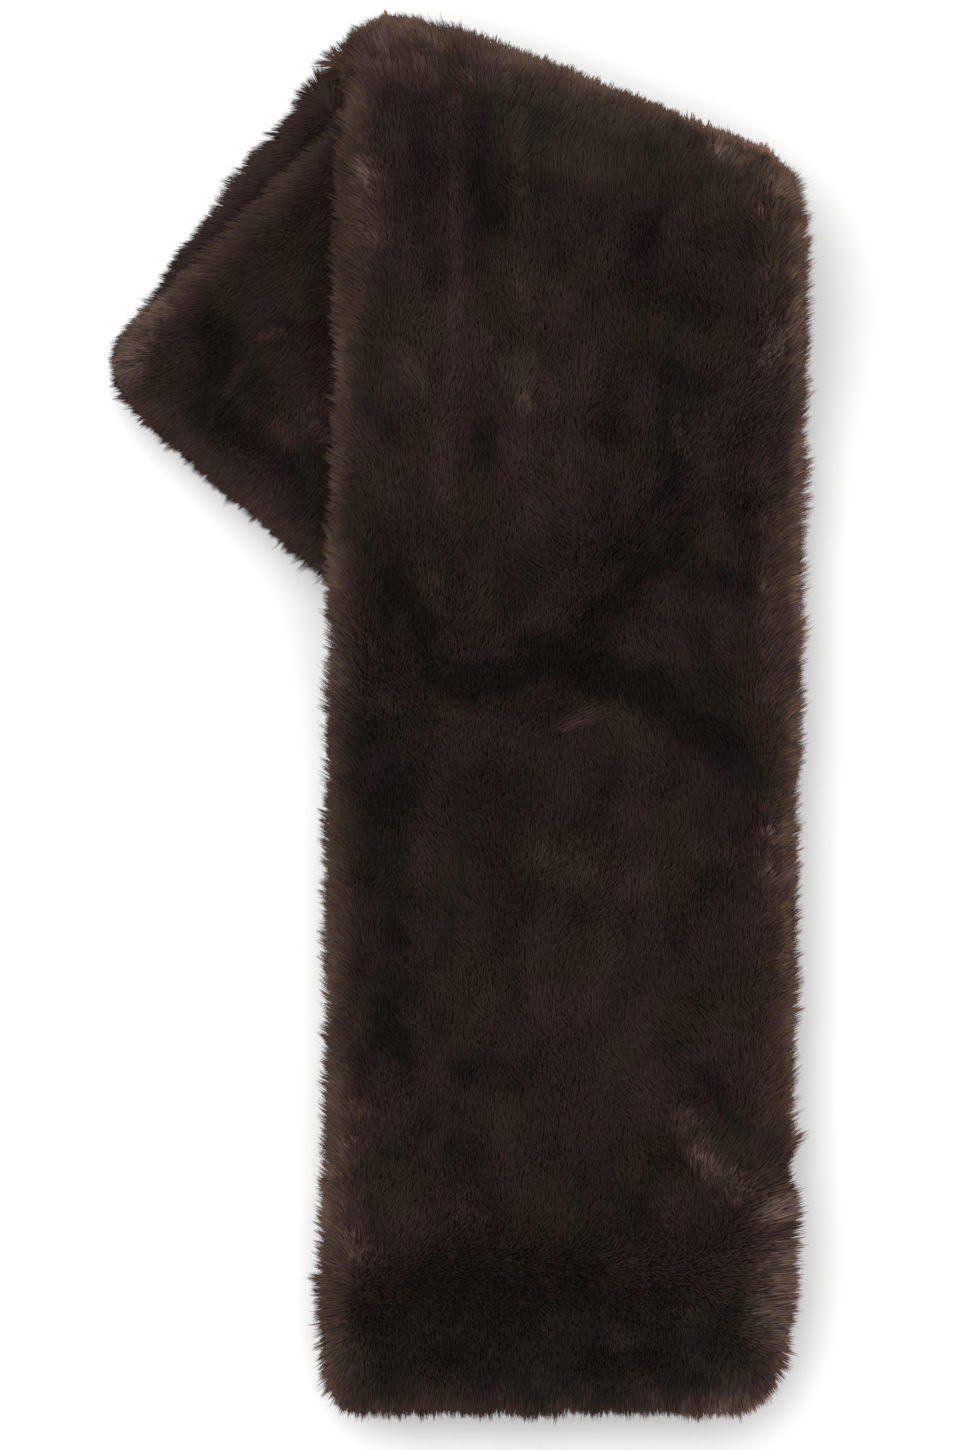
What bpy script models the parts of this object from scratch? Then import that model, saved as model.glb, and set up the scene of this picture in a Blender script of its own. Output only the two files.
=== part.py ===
"""Fur scarf, folded double and laid down flat, with its doubled top turned back beneath on a slant.

Metres, +Z up. The origin is on the surface it lies on, under the middle of its outline. +Y runs from the
hem up to the bend, and +X to the right. The scarf is one flat tube of fur cloth, and four stretches of it
lie here: the front one, the one under it, and the upper and lower layers of the part turned back. Each
stretch is a loft of rows that cross the strip, one row for each station along it.
"""

import math
from collections import namedtuple

import bmesh
import bpy
import numpy as np

OBJECT_NAME = "folded_fur_scarf"

# The cloth, as it lies
LAYER = 0.015  # one stretch: two fur faces back to back, pile and all
GAP = 0.0003  # between stretches
RIM = 0.012  # a seamed edge rounds off over this width
TURNED_STACK = 2 * (LAYER + GAP)  # height of the part turned back, which lifts the front stretches
BLEND = 0.025  # a side edge drops or climbs to the line of a folded end over this length

# Fineness of the lofts
MERGE = 0.00001
RIM_STEPS = 3
COLUMNS = 17
FRONT_ROWS = 54
TURNED_ROWS = 14
BEND_STEPS = 12
ROW_CROWDING = 0.12  # how much closer together the front stretches' rows lie towards the bend

# The front stretches: their side edges at stations up from the hem
HEM_Y = -0.2332
HEM_LEFT_RADIUS = 0.015
HEM_RIGHT_RADIUS = 0.023
FrontEdge = namedtuple("FrontEdge", "y left right")
FRONT_EDGES = (
    FrontEdge(-0.2332, -0.0475, 0.1090),
    FrontEdge(-0.2073, -0.0490, 0.1108),
    FrontEdge(-0.1773, -0.0492, 0.1120),
    FrontEdge(-0.1340, -0.0472, 0.1112),
    FrontEdge(-0.0807, -0.0475, 0.1130),
    FrontEdge(-0.0273, -0.0472, 0.1132),
    FrontEdge(0.0127, -0.0458, 0.1145),
    FrontEdge(0.0527, -0.0462, 0.1120),
    FrontEdge(0.0793, -0.0450, 0.1148),
    FrontEdge(0.1060, -0.0440, 0.1158),
    FrontEdge(0.1540, -0.0438, 0.1165),
    FrontEdge(0.1850, -0.0430, 0.1160),
    FrontEdge(0.2105, -0.0398, 0.1155),
)

# The under stretch: how its rims differ from the front one's
UNDER_SHORTER = 0.0015  # at the left edge and the hem, where the front stretch hides it
UNDER_PEEP = 0.0055  # how much further it comes out at the right edge, where it peeps out
UNDER_PEEP_Y = 0.0530
UNDER_PEEP_HALF = 0.014

# The slanted bend, round which the doubled strip turns back beneath itself
BEND_SLANT = math.radians(21.2)
BEND_LEFT = np.array((-0.0398, 0.2125))  # where it starts at the left edge
BEND_ALONG = np.array((math.cos(BEND_SLANT), -math.sin(BEND_SLANT)))
BEND_OUT = np.array((math.sin(BEND_SLANT), math.cos(BEND_SLANT)))
BEND_AXIS_Z = TURNED_STACK - GAP / 2
BEND_INNER_RADIUS = LAYER + 1.5 * GAP
# The thick side edges draw in on the way round it: along the bend, and back from its outer line
LEFT_TUCK = 0.003
LEFT_DRIFT = -0.009
RIGHT_TUCK = -0.0115
LEFT_PULL = 0.16
LEFT_PULL_SHARE = 0.30
RIGHT_PULL = 0.16
RIGHT_PULL_SHARE = 0.15
INSIDE_FIT = 0.94  # how far the folds inside it reach, of the way out to the front stretch

# The part turned back: its own frame starts at the corner of the folded end and runs towards the bend
TURNED_CORNER = np.array((-0.1248, 0.1140))
TURNED_ANGLE = math.radians(40.8)
TURNED_ALONG = np.array((math.sin(TURNED_ANGLE), math.cos(TURNED_ANGLE)))
TURNED_ACROSS = np.array((math.cos(TURNED_ANGLE), -math.sin(TURNED_ANGLE)))
TURNED_WIDTH = 0.152
TURNED_LEFT_RADIUS = 0.022
TURNED_RIGHT_RADIUS = 0.038
TurnedEdge = namedtuple("TurnedEdge", "along upper_left lower_left")
TURNED_EDGES = (
    TurnedEdge(0.000, -0.0015, -0.0015),
    TurnedEdge(0.015, -0.0015, -0.0022),
    TurnedEdge(0.032, -0.0005, -0.0022),
    TurnedEdge(0.056, 0.0010, -0.0051),
    TurnedEdge(0.098, 0.0040, -0.0070),
    TurnedEdge(0.122, 0.0055, -0.0088),
    TurnedEdge(0.135, 0.0065, -0.0080),
)

# The front stretches come down from the part turned back to the surface
SLOPE = 0.042
SLOPE_SIDE = 0.156  # how far across the part turned back the slope starts

# The main creases: a broken line of three points in plan. A negative depth is a ridge.
Crease = namedtuple("Crease", "name x1 y1 x2 y2 x3 y3 half_width depth")
FRONT_CREASES = (
    Crease("left sweep", -0.026, 0.048, -0.011, 0.023, 0.013, 0.013, 0.009, 0.0040),
    Crease("right sweep", 0.026, 0.026, 0.060, 0.009, 0.094, -0.017, 0.009, 0.0042),
    Crease("shoulder dip", 0.067, 0.106, 0.068, 0.055, 0.046, 0.036, 0.008, 0.0030),
    Crease("side nick", 0.076, 0.059, 0.084, 0.050, 0.091, 0.043, 0.006, 0.0024),
    Crease("neck spot", 0.008, 0.093, 0.008, 0.089, 0.009, 0.084, 0.007, 0.0020),
    Crease("left hollow", -0.020, -0.022, -0.026, -0.050, -0.024, -0.078, 0.010, 0.0024),
    Crease("low left hollow", -0.030, -0.105, -0.020, -0.112, -0.012, -0.122, 0.009, 0.0018),
    Crease("middle dip", 0.000, -0.118, 0.009, -0.119, 0.018, -0.120, 0.009, 0.0020),
    Crease("hem hollow", -0.012, -0.196, 0.030, -0.204, 0.084, -0.198, 0.020, 0.0032),
    Crease("right tuft", 0.073, -0.133, 0.084, -0.146, 0.096, -0.158, 0.007, -0.0022),
    Crease("left rib", -0.002, 0.205, -0.001, 0.150, -0.003, 0.100, 0.008, -0.0012),
    Crease("right rib", 0.021, 0.196, 0.020, 0.150, 0.018, 0.095, 0.008, -0.0014),
    Crease("belly", 0.030, -0.050, 0.048, -0.052, 0.066, -0.050, 0.016, -0.0014),
)
TURNED_CREASES = (
    Crease("corner hollow", -0.083, 0.132, -0.082, 0.120, -0.078, 0.108, 0.008, 0.0022),
    Crease("middle hollow", -0.066, 0.150, -0.060, 0.122, -0.056, 0.092, 0.008, 0.0020),
    Crease("edge ridge", -0.048, 0.192, -0.070, 0.168, -0.092, 0.146, 0.006, -0.0012),
)

FUR_BROWN = (0.020, 0.0125, 0.0105, 1.0)
FUR_ROUGHNESS = 0.75

# How far round the quarter circle of a rounded edge each of its rows is, from the edge inwards
RIM_ANGLES = np.linspace(0.0, math.pi / 2, RIM_STEPS + 1)

# A loft: the lower side of each point at full thickness, the way up from it, how full the cloth is there,
# and the level at which its two skins meet as it thins out, from 0 at the bottom to 1 at the top
Loft = namedtuple("Loft", "base up fill meet")


def eased(t):
    """A soft step from 0 to 1."""
    t = np.clip(t, 0.0, 1.0)
    return t * t * (3.0 - 2.0 * t)


def curve(at, stations, values):
    """Values along a smooth curve through a table's stations."""
    stations, values = np.asarray(stations), np.asarray(values)
    slopes = np.gradient(values, stations)
    k = np.clip(np.searchsorted(stations, at) - 1, 0, len(stations) - 2)
    span = stations[k + 1] - stations[k]
    t = np.clip((at - stations[k]) / span, 0.0, 1.0)
    start = values[k] * (1 + 2 * t) * (1 - t) ** 2 + slopes[k] * span * t * (1 - t) ** 2
    end = values[k + 1] * t * t * (3 - 2 * t) - slopes[k + 1] * span * t * t * (1 - t)
    return start + end


def column_of(table, name):
    return [getattr(row, name) for row in table]


def corner_inset(height, radius):
    """How far a corner of this radius lies in from the straight edge, at a height above its end."""
    below = np.clip(radius - height, 0.0, radius)
    return radius - np.sqrt(radius**2 - below**2)


def row_heights(length, rim, inner_rim, rows, crowding=0.0):
    """Distances of a loft's rows from its end: close in the rim, then even, or closer towards the top."""
    in_rim = inner_rim - rim * np.cos(RIM_ANGLES[:-1])
    share = np.linspace(0.0, 1.0, rows + 1)
    share = share + crowding * np.sin(math.pi * share)
    return np.concatenate([in_rim, inner_rim + (length - inner_rim) * share])


def plan_rows(inner_left, inner_right, rim_left, rim_right):
    """Plan points of each row, from edge to edge. The inner points are where the two rims begin."""
    to_right = inner_right - inner_left
    to_right = to_right / np.linalg.norm(to_right, axis=1, keepdims=True)
    outward = np.cos(RIM_ANGLES[:-1])[None, :, None]
    share = np.linspace(0.0, 1.0, COLUMNS + 1)[None, :, None]
    left = inner_left[:, None] - to_right[:, None] * rim_left[:, None, None] * outward
    core = inner_left[:, None] * (1 - share) + inner_right[:, None] * share
    right = inner_right[:, None] + to_right[:, None] * rim_right[:, None, None] * outward
    return np.concatenate([left, core, right[:, ::-1]], axis=1)


def side_fill():
    """How full the cloth is across a row: rounded off at both side edges."""
    rim = np.sin(RIM_ANGLES[:-1])
    return np.concatenate([rim, np.ones(COLUMNS + 1), rim[::-1]])


def end_fill(rows):
    """How full the cloth is along a loft that rounds off at its first end."""
    return np.concatenate([np.sin(RIM_ANGLES[:-1]), np.ones(rows + 1)])


def turned_place(plan):
    """Plan points in the frame of the part turned back: (across, along)."""
    away = plan - TURNED_CORNER
    return away @ TURNED_ACROSS, away @ TURNED_ALONG


def lift(plan):
    """Height of the floor or of the part turned back under the front stretches, with a soft slope."""
    across, along = turned_place(plan)
    past_end = np.maximum(TURNED_RIGHT_RADIUS - along, 0.0)
    past_side = np.maximum(across - SLOPE_SIDE + TURNED_RIGHT_RADIUS, 0.0)
    outside = np.hypot(past_end, past_side) - TURNED_RIGHT_RADIUS
    return TURNED_STACK * (1.0 - eased(outside / SLOPE))


def crease_depth(plan, creases):
    """How far the creases press the upper skin in."""
    depth = np.zeros(plan.shape[:-1])
    for crease in creases:
        points = np.array(((crease.x1, crease.y1), (crease.x2, crease.y2), (crease.x3, crease.y3)))
        nearest = np.full(plan.shape[:-1], np.inf)
        for start, end in zip(points[:-1], points[1:]):
            way = end - start
            t = np.clip((plan - start) @ way / (way @ way), 0.0, 1.0)
            nearest = np.minimum(nearest, np.linalg.norm(plan - start - t[..., None] * way, axis=-1))
        depth += crease.depth * np.exp(-((nearest / crease.half_width) ** 2))
    return depth


def raised(plan, height):
    """Plan points at a height."""
    return np.concatenate([plan, np.broadcast_to(height, plan.shape[:-1])[..., None]], axis=-1)


def flat_loft(plan, height, fill, meet):
    up = np.broadcast_to((0.0, 0.0, 1.0), (*plan.shape[:-1], 3))
    return Loft(raised(plan, height), up, fill, np.broadcast_to(meet[:, None], fill.shape))


def joined(first, second):
    """Two lofts of the same columns as one, the second carrying on from the first."""
    return Loft(*(np.concatenate([a, b]) for a, b in zip(first, second)))


def bend_y(x):
    """Where the bend line is at an x."""
    return BEND_LEFT[1] - (x - BEND_LEFT[0]) * math.tan(BEND_SLANT)


def front_side(rim_in, hem_rim, hem_radius, edge_name):
    """Points along one side of a front stretch where its rim begins, from the hem to the bend line."""
    stations = column_of(FRONT_EDGES, "y")
    edge = column_of(FRONT_EDGES, edge_name)
    length = bend_y(edge[-1] + rim_in) - HEM_Y
    y = HEM_Y + row_heights(length, hem_rim, RIM, FRONT_ROWS, ROW_CROWDING)
    hem_y = HEM_Y + RIM - hem_rim
    inset = corner_inset(y - hem_y, hem_radius) * math.copysign(1.0, rim_in)
    x = curve(y, stations, edge) + inset + rim_in
    y[-1] = bend_y(x[-1])
    return np.stack([x, y], axis=1)


def front_plan(hem_rim, left_rim, right_rim):
    """Plan rows of a front stretch from the hem to the bend. Its rims may differ, its inside never does."""
    left = front_side(RIM, hem_rim, HEM_LEFT_RADIUS, "left")
    right = front_side(-RIM, hem_rim, HEM_RIGHT_RADIUS, "right")
    left_rims = np.broadcast_to(left_rim(left[:, 1]), len(left))
    right_rims = np.broadcast_to(right_rim(right[:, 1]), len(right))
    return plan_rows(left, right, left_rims, right_rims)


def bend_outward(turn, share):
    """Plan direction out from the bend's axis at an angle round it, shorter at the ends of the bend."""
    pull = LEFT_PULL * eased(1.0 - share / LEFT_PULL_SHARE)
    pull = pull + RIGHT_PULL * eased(1.0 - (1.0 - share) / RIGHT_PULL_SHARE)
    return BEND_OUT * (np.sin(turn) * (1.0 - pull))[..., None]


def bend_tuck(turn, share):
    """How far along the bend the cloth shifts on the way round, as its side edges draw in."""
    return BEND_ALONG * (np.sin(turn) * (LEFT_TUCK * (1 - share) + RIGHT_TUCK * share))[..., None]


def front_loft():
    """The front stretch: along the top from the hem, then round the bend down to the floor."""
    plan = front_plan(RIM, lambda y: RIM, lambda y: RIM)
    fill = end_fill(FRONT_ROWS)[:, None] * side_fill()
    flat = flat_loft(plan, lift(plan) + LAYER + GAP, fill, np.full(len(plan), 0.5))

    turn = np.linspace(0.0, math.pi, BEND_STEPS + 1)[1:, None]
    share = np.linspace(0.0, 1.0, plan.shape[1])[None, :]
    outward = bend_outward(turn, share)
    drift = LEFT_DRIFT * (1 - np.cos(turn)) / 2 * (1 - share)
    around = plan[-1][None] + BEND_ALONG * drift[..., None] + bend_tuck(turn, share)
    around = around + outward * BEND_INNER_RADIUS
    height = BEND_AXIS_Z + BEND_INNER_RADIUS * np.cos(turn)
    up = raised(outward, np.cos(turn))
    fill = np.broadcast_to(side_fill(), around.shape[:2])
    bend = Loft(raised(around, height), up, fill, np.full(fill.shape, 0.5))
    return joined(flat, bend)


def folded_end(loft, meet):
    """Carries a flat loft on past the bend line, rounding it off to the level where its fold continues."""
    angle = RIM_ANGLES[1:, None]
    share = np.linspace(0.0, 1.0, loft.base.shape[1])[None, :]
    way = bend_outward(angle, share) * LAYER + bend_tuck(angle, share)
    base = loft.base[-1][None] + raised(way * INSIDE_FIT, 0.0)
    up = np.broadcast_to(loft.up[-1], base.shape)
    fill = side_fill()[None] * np.cos(angle)
    return joined(loft, Loft(base, up, fill, np.full(fill.shape, meet)))


def under_loft():
    """The stretch below the front one, which ends inside the bend at the upper half of its own fold."""

    def right_rim(y):
        peep = np.exp(-(((y - UNDER_PEEP_Y) / UNDER_PEEP_HALF) ** 2))
        return RIM - UNDER_SHORTER + UNDER_PEEP * peep

    plan = front_plan(RIM - UNDER_SHORTER, lambda y: RIM - UNDER_SHORTER, right_rim)
    fill = end_fill(FRONT_ROWS)[:, None] * side_fill()
    to_bend = (BEND_LEFT[1] - plan[:, 0, 1]) / BLEND
    flat = flat_loft(plan, lift(plan), fill, 0.5 * eased(to_bend))
    return folded_end(flat, 0.0)


def turned_plan(edge_name, short_of_bend):
    """Plan rows of the part turned back, from its folded end to the bend line, and their left stations."""

    def bend_station(across):
        reach = (BEND_LEFT - TURNED_CORNER) @ BEND_OUT - short_of_bend
        return (reach - across * (TURNED_ACROSS @ BEND_OUT)) / (TURNED_ALONG @ BEND_OUT)

    stations = column_of(TURNED_EDGES, "along")
    left_edge = column_of(TURNED_EDGES, edge_name)
    left_along = row_heights(bend_station(left_edge[-1] + RIM), LAYER, LAYER, TURNED_ROWS)
    right_along = row_heights(bend_station(TURNED_WIDTH - RIM), LAYER, LAYER, TURNED_ROWS)
    left = curve(left_along, stations, left_edge) + corner_inset(left_along, TURNED_LEFT_RADIUS) + RIM
    right = TURNED_WIDTH - corner_inset(right_along, TURNED_RIGHT_RADIUS) - RIM
    left_along[-1] = bend_station(left[-1])
    inner = [
        TURNED_CORNER + across[:, None] * TURNED_ACROSS + along[:, None] * TURNED_ALONG
        for across, along in ((left, left_along), (right, right_along))
    ]
    rims = np.full(len(left), RIM)
    return plan_rows(*inner, rims, rims), left_along


def back_upper_loft():
    """Upper layer of the part turned back.

    Its free end is the upper half of the fold there, and inside the bend it ends in the lower half of the
    fold that it shares with the under stretch.
    """
    plan, along = turned_plan("upper_left", 0.0)
    fill = end_fill(TURNED_ROWS)[:, None] * side_fill()
    meet = 0.5 * eased(along / BLEND) + 0.5 * eased(1.0 - (along[-1] - along) / BLEND)
    return folded_end(flat_loft(plan, LAYER + GAP, fill, meet), 1.0)


def back_lower_loft():
    """Lower layer of the part turned back, on the surface up to where the front stretch comes round."""
    plan, along = turned_plan("lower_left", GAP)
    fill = end_fill(TURNED_ROWS)[:, None] * side_fill()
    return flat_loft(plan, 0.0, fill, 1.0 - 0.5 * eased(along / BLEND))


def skins(loft, creases):
    """Upper and lower points of a loft. Creases press in its upper skin where it faces up."""
    level_up = loft.meet + (1 - loft.meet) * loft.fill
    level_down = loft.meet * (1 - loft.fill)
    pressed = crease_depth(loft.base[..., :2], creases) * loft.fill * np.maximum(loft.up[..., 2], 0.0)
    upper = loft.base + loft.up * (LAYER * level_up - pressed)[..., None]
    lower = loft.base + loft.up * (LAYER * level_down)[..., None]
    return upper, lower


def closed_mesh(name, upper, lower):
    """One closed mesh from two skins of the same rows and columns, with a wall round all four sides.

    Where the skins meet in a rounded edge the wall has no height, and its points are merged.
    """
    rows, columns = upper.shape[:2]
    above = np.arange(rows * columns).reshape(rows, columns)
    below = above + rows * columns
    rim = np.concatenate([above[0, :-1], above[:-1, -1], above[-1, :0:-1], above[:0:-1, 0]])
    onward = np.roll(rim, -1)
    to_below = rows * columns

    def halves(a, b, c, d):
        return [np.stack(corners, -1).reshape(-1, 3) for corners in ((a, b, c), (a, c, d))]

    # Each cell is halved towards the loft's nearest corner, so that no triangle has all three points on
    # the edge where the skins meet.
    from_right = np.arange(columns - 1)[None, :] >= columns // 2
    from_last = np.arange(rows - 1)[:, None] >= rows - 1 - RIM_STEPS
    crossed = (from_right != from_last)[..., None, None]

    def skin_faces(number):
        a, b, c, d = number[:-1, :-1], number[:-1, 1:], number[1:, 1:], number[1:, :-1]
        straight = np.stack([np.stack([a, b, c], -1), np.stack([a, c, d], -1)], -2)
        across = np.stack([np.stack([a, b, d], -1), np.stack([b, c, d], -1)], -2)
        return np.where(crossed, across, straight).reshape(-1, 3)

    faces = [skin_faces(above), skin_faces(below)[:, ::-1]]
    faces += halves(onward, rim, rim + to_below, onward + to_below)
    mesh = bpy.data.meshes.new(name)
    points = np.concatenate([upper.reshape(-1, 3), lower.reshape(-1, 3)])
    mesh.from_pydata(points.tolist(), [], np.concatenate(faces).tolist())

    work = bmesh.new()
    work.from_mesh(mesh)
    bmesh.ops.remove_doubles(work, verts=work.verts, dist=MERGE)
    bmesh.ops.recalc_face_normals(work, faces=work.faces)
    work.to_mesh(mesh)
    work.free()
    mesh.shade_smooth()
    return mesh


def fur_material(name):
    material = bpy.data.materials.new(name)
    material.use_nodes = True
    shader = material.node_tree.nodes["Principled BSDF"]
    shader.inputs["Base Color"].default_value = FUR_BROWN
    shader.inputs["Roughness"].default_value = FUR_ROUGHNESS
    shader.inputs["Metallic"].default_value = 0.0
    return material


def add_stretch(collection, name, loft, creases=()):
    mesh = closed_mesh(name, *skins(loft, creases))
    mesh.materials.append(fur_material(name + "_fur"))
    collection.objects.link(bpy.data.objects.new(name, mesh))


def main():
    for old in list(bpy.data.objects):
        bpy.data.objects.remove(old, do_unlink=True)
    scarf = bpy.data.collections.new(OBJECT_NAME)
    bpy.context.scene.collection.children.link(scarf)
    add_stretch(scarf, "front_stretch", front_loft(), FRONT_CREASES)
    add_stretch(scarf, "under_stretch", under_loft())
    add_stretch(scarf, "back_upper_stretch", back_upper_loft(), TURNED_CREASES)
    add_stretch(scarf, "back_lower_stretch", back_lower_loft())


main()
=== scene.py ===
"""Looks of the folded fur scarf: its sewn panels, its pile hair by hair, and the studio round it.

Metres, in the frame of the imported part: +Y from the hem up to the slanted bend, +X to the right, +Z up.
Each stretch of the scarf has a pelt, the thin sewn tube on the form of its solid, and the pile that grows
from it as far as the solid reaches.
"""

import math
from collections import namedtuple

import bmesh
import bpy
import numpy as np
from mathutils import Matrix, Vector
from mathutils.bvhtree import BVHTree
from mathutils.kdtree import KDTree


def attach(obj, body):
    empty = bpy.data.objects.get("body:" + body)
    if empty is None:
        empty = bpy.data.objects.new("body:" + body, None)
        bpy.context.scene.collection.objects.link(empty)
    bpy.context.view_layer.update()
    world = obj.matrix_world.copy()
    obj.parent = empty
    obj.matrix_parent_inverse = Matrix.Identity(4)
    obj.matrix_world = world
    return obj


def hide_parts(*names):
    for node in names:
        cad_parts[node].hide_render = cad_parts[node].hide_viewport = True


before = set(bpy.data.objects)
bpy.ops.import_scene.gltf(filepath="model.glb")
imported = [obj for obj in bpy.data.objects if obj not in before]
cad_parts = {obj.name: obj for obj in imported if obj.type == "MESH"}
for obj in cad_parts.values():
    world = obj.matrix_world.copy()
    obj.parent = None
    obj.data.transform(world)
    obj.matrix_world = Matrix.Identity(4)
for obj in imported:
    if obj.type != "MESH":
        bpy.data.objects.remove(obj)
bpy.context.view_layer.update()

FRONT, UNDER = "front_stretch", "under_stretch"
BACK_UPPER, BACK_LOWER = "back_upper_stretch", "back_lower_stretch"

# The cloth: a stretch is a length of two panels that are sewn together along both sides
PELT_WALL = 0.0008
RIM = 0.012  # width over which a seamed edge rounds off
PANEL_EDGE = 0.0015  # how far the sewn edge of the pelt bulges past its flat part
PILE_ON_TOP = 0.0040  # depth of the pile that stands free
PILE_BELOW = 0.0040  # and on the lower side
PILE_ON_FLOOR = 0.0005  # and where the scarf rests on the floor
FLOOR_NEAR = 0.0012  # what faces down and lies lower than this rests on the floor
EDGE_INSET = 0.0085  # the pelt stays this far inside the outline, seen from above
BEND_INSET = 0.0050  # and this far at the bend

# The slanted bend: where its line starts at the left edge, the level way out from it, and its axis
BEND_SLANT = math.radians(21.2)
BEND_LEFT = np.array((-0.0398, 0.2125, 0.0))
BEND_OUT = np.array((math.sin(BEND_SLANT), math.cos(BEND_SLANT), 0.0))
BEND_AXIS_Z = 0.03045
UP = np.array((0.0, 0.0, 1.0))

# How the form of a stretch is read
MERGE = 0.00001  # corners that are nearer to each other are one
CELL = 0.0012  # of the level grid in which the outline is found
GRID_MARGIN = 4 * CELL
BESIDE = 12  # how many cells outside the outline give the way out
EDGE_FACING = 0.35  # less of the sewn edge's normal than this points through the cloth
ON_OUTLINE = 1.3 * CELL  # what is nearer to the outline belongs to the sewn edge too
SEAM_STEPS = 9  # points on each line of the mesh along the seam
OUT_HINT = 0.004  # nearer to the seam than about this, the pile points out of the outline

# The camera: straight above, far off, with a long lens
IMAGE_HEIGHT = 1450
PIXEL = 0.001 / 3
PIXEL_Z = 0.025  # the height at which a pixel is that large: the middle of the scarf
IMAGE_CENTRE = (0.0070, -0.0023)
LENS, SENSOR = 500.0, 36.0
CLIP_END = 100.0

# The studio
FLOOR_SIZE = 60.0
BOX_PLACE, BOX_SIZE, BOX_POWER = (-0.5, 0.7, 1.8), 2.4, 34.0
SURROUND = 0.96  # strength of the white light from all round


def eased(t):
    """A soft step from 0 to 1."""
    t = np.clip(t, 0.0, 1.0)
    return t * t * (3.0 - 2.0 * t)


def unit(v):
    """Vectors made one long."""
    return v / np.maximum(np.linalg.norm(v, axis=-1, keepdims=True), 1e-9)


def dot(a, b):
    """How far vectors point the same way, kept as a column."""
    return np.sum(a * b, axis=-1, keepdims=True)


def waves(points, wavelength, seed, count=28):
    """A smooth random field with a spread of about 1, made of plane waves that cross in all directions."""
    rng = np.random.default_rng(seed)
    way = unit(rng.normal(size=(count, 3)))
    number = 2 * math.pi / (wavelength * rng.uniform(0.7, 1.6, count))
    phase = rng.uniform(0, 2 * math.pi, count)
    return np.cos(points @ (way * number[:, None]).T + phase).sum(axis=1) * math.sqrt(2 / count)


def linear(*levels):
    """A colour given in the eight-bit levels of a screen, as light."""
    values = [level / 255 for level in levels]
    return tuple(v / 12.92 if v <= 0.04045 else ((v + 0.055) / 1.055) ** 2.4 for v in values) + (1.0,)


class Value:
    """A socket that shader maths is written with: a + b, 1 - a, a * b and so on add their Math nodes."""

    def __init__(self, shader, socket):
        self.shader, self.socket = shader, socket

    def maths(self, operation, *values):
        return self.shader.node("ShaderNodeMath", dict(operation=operation), *values)["Value"]

    def __add__(self, other):
        return self.maths("ADD", self, other)

    def __sub__(self, other):
        return self.maths("SUBTRACT", self, other)

    def __rsub__(self, other):
        return self.maths("SUBTRACT", other, self)

    def __mul__(self, other):
        return self.maths("MULTIPLY", self, other)

    def __truediv__(self, other):
        return self.maths("DIVIDE", self, other)

    def __rtruediv__(self, other):
        return self.maths("DIVIDE", other, self)

    __radd__, __rmul__ = __add__, __mul__

    def clamped(self):
        return self.shader.node("ShaderNodeClamp", {}, self)["Result"]


def find_socket(sockets, name):
    """A socket by its identifier, or else by its name, with underscores for its spaces."""
    for socket in sockets:
        if socket.identifier == name:
            return socket
    return sockets[name.replace("_", " ")]


class Outputs:
    """The outputs of a node, by name."""

    def __init__(self, shader, made):
        self.shader, self.made = shader, made

    def __getitem__(self, name):
        return Value(self.shader, find_socket(self.made.outputs, name))


class Shader:
    """A material whose nodes come from one method."""

    def __init__(self, name):
        self.material = bpy.data.materials.new(name)
        self.material.use_nodes = True
        self.tree = self.material.node_tree
        self.surface = self.tree.nodes["Principled BSDF"]

    def node(self, kind, settings, *values, **named):
        """Adds a node. The settings are set first, then its sockets in order, then those by name."""
        made = self.tree.nodes.new(kind)
        for name, setting in settings.items():
            if name == "stops":
                self.set_stops(made.color_ramp, setting)
            else:
                setattr(made, name, setting)
        for socket, value in zip(made.inputs, values):
            self.feed(socket, value)
        for name, value in named.items():
            self.feed(find_socket(made.inputs, name), value)
        return Outputs(self, made)

    def set_stops(self, ramp, stops):
        while len(ramp.elements) < len(stops):
            ramp.elements.new(1.0)
        for element, (position, colour) in zip(ramp.elements, stops):
            element.position = position
            element.color = colour

    def feed(self, socket, value):
        if isinstance(value, Value):
            self.tree.links.new(value.socket, socket)
        else:
            socket.default_value = value

    def mixed(self, factor, first, second):
        """A colour between two colours."""
        settings = dict(data_type="RGBA")
        made = self.node("ShaderNodeMix", settings, Factor_Float=factor, A_Color=first, B_Color=second)
        return made["Result_Color"]

    def finish(self, **inputs):
        """Sets the inputs of the surface, by name, and gives the material."""
        for name, value in inputs.items():
            self.feed(find_socket(self.surface.inputs, name), value)
        return self.material


# The pile's colours. Each hair has a shade from 0 to 1, along U, and a tint, a band of V that runs from the
# hair's root to its tip.
HAIR_COLOURS = "OFBake"  # the name of that layer
TINTS = 4
PLUM, OLIVE, WARM, RUSSET = range(TINTS)
TINT_MARGIN = 0.06  # of a band, left free at both ends
Tint = namedtuple("Tint", "dark middle light")
TINT_COLOURS = (
    Tint(linear(17, 10, 11), linear(59, 42, 39), linear(104, 83, 77)),
    Tint(linear(16, 13, 8), linear(55, 43, 35), linear(100, 84, 69)),
    Tint(linear(20, 13, 9), linear(66, 49, 38), linear(116, 93, 76)),
    Tint(linear(25, 14, 9), linear(83, 56, 40), linear(138, 102, 79)),
)
ROOT_LIFT = 0.28  # a hair's root is paler by this much shade: partly woolly underfur, partly painted light that offsets the shade deep in the pile
PALE_ROOT_SHARE = 0.5  # and the paler part ends at this share of the hair

# The ground's colours, kept pale as painted light that offsets the shade seen between the hairs, and its
# short hair pressed flat: it runs along the scarf and lies in patches
GROUND_DARK, GROUND_LIGHT = linear(40, 29, 26), linear(64, 47, 41)
FLAT_HAIR = dict(Scale=900.0, Detail=3.0)
FLAT_HAIR_RUN = (1.0, 0.22, 1.0)
FLAT_PATCHES = dict(Scale=45.0, Detail=2.0)


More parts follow.
